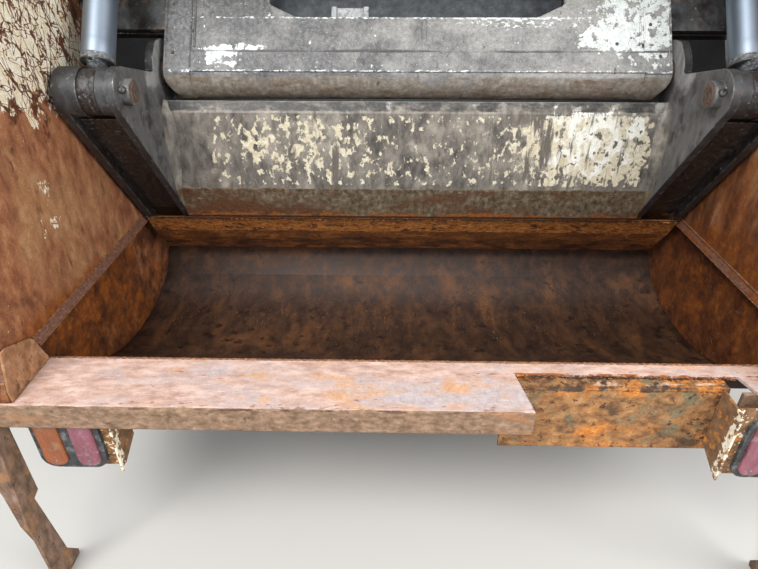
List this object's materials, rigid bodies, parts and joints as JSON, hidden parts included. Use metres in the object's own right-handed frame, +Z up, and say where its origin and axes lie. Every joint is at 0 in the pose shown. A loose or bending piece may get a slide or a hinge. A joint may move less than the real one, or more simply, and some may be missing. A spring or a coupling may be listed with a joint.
{
  "type": "rear loading tailgate of a garbage truck",
  "caption": "Rear loading tailgate of a garbage truck: hopper with sill, sliding carriage, hinged packer blade, sweep and slide cylinders, lamps.",
  "frame": {"origin": "middle of the roof hinge line, on the axis of the hinge ears' bores", "axes": "+X right seen from behind, +Y forward to the cab, +Z up"},
  "size_m": [2.436, 1.9789, 2.9049],
  "materials": {
    "rusty_sheet": "worn cream paint over brown rust",
    "rusty_plate": "bare plate with pale rust",
    "orange_rust": "bright orange rust",
    "grey_worn_paint": "scuffed dark grey with cream paint left",
    "greasy_steel": "greasy dark steel",
    "chrome_rod": "hard chrome",
    "barrel_paint": "dark grey paint",
    "track_steel": "worn bright by the shoes",
    "lamp_rubber": "black rubber",
    "amber_plastic": "amber, faded",
    "red_plastic": "red, faded"
  },
  "bodies": {
    "tailgate": {"side_wall_left": "rusty_sheet", "side_wall_right": "rusty_sheet", "track_left": "track_steel", "track_right": "track_steel", "wall_ribs_left": "rusty_sheet", "wall_ribs_right": "rusty_sheet", "slide_barrel_left": "barrel_paint", "slide_barrel_right": "barrel_paint", "step_hanger_left": "orange_rust", "step_hanger_right": "orange_rust", "lamp_bracket_left": "orange_rust", "lamp_bracket_right": "orange_rust", "lamp_gasket_left": "lamp_rubber", "lamp_gasket_right": "lamp_rubber", "amber_lens_left": "amber_plastic", "amber_lens_right": "amber_plastic", "red_lens_left": "red_plastic", "red_lens_right": "red_plastic", "hopper_floor": "rusty_sheet", "floor_ribs": "rusty_sheet", "sill_plate": "rusty_plate", "rear_panel": "orange_rust", "roof": "rusty_sheet", "hood": "rusty_sheet", "front_header": "rusty_sheet", "hinge_ears": "greasy_steel", "latch_lugs": "greasy_steel"},
    "carriage": {"slide_panel": "grey_worn_paint", "carriage_frame": "greasy_steel", "guide_shoes_left": "greasy_steel", "guide_shoes_right": "greasy_steel", "slide_rod_left": "chrome_rod", "slide_rod_right": "chrome_rod"},
    "blade": {"blade_shell": "grey_worn_paint", "blade_arm_left": "greasy_steel", "blade_arm_right": "greasy_steel", "wear_lip": "orange_rust", "hinge_pin": "track_steel", "lug_pin_left": "track_steel", "lug_pin_right": "track_steel"},
    "sweep_barrel_left_body": {"sweep_barrel_left": "barrel_paint"},
    "sweep_barrel_right_body": {"sweep_barrel_right": "barrel_paint"},
    "sweep_rod_left_body": {"sweep_rod_left": "chrome_rod"},
    "sweep_rod_right_body": {"sweep_rod_right": "chrome_rod"}
  },
  "joints": [
    {"name": "carriage_slide", "type": "slide", "parent": "tailgate", "child": "carriage", "axis": [0, 0.5878, 0.809], "range_m": [-0.2, 0.5]},
    {"name": "blade_swing", "type": "hinge", "parent": "carriage", "child": "blade", "pos_m": [0, -0.878, -1.54], "axis": [1, 0, 0], "range_deg": [-58, 10]},
    {"name": "sweep_barrel_left_swing", "type": "hinge", "parent": "carriage", "child": "sweep_barrel_left_body", "pos_m": [-0.906, -0.58495, -0.67444], "axis": [1, 0, 0], "range_deg": [-5, 1]},
    {"name": "sweep_rod_left_slide", "type": "slide", "parent": "sweep_barrel_left_body", "child": "sweep_rod_left_body", "axis": [0, -0.5878, -0.809], "range_m": [-0.33, 0.06]},
    {"name": "sweep_barrel_right_swing", "type": "hinge", "parent": "carriage", "child": "sweep_barrel_right_body", "pos_m": [0.906, -0.58495, -0.67444], "axis": [1, 0, 0], "range_deg": [-5, 1]},
    {"name": "sweep_rod_right_slide", "type": "slide", "parent": "sweep_barrel_right_body", "child": "sweep_rod_right_body", "axis": [0, -0.5878, -0.809], "range_m": [-0.33, 0.06]}
  ],
  "couplings": [
    {"joint": "sweep_barrel_left_swing", "follows": "blade_swing", "ratio": 0.0725},
    {"joint": "sweep_rod_left_slide", "follows": "blade_swing", "m_per_rad": 0.307},
    {"joint": "sweep_barrel_right_swing", "follows": "blade_swing", "ratio": 0.0725},
    {"joint": "sweep_rod_right_slide", "follows": "blade_swing", "m_per_rad": 0.307}
  ]
}
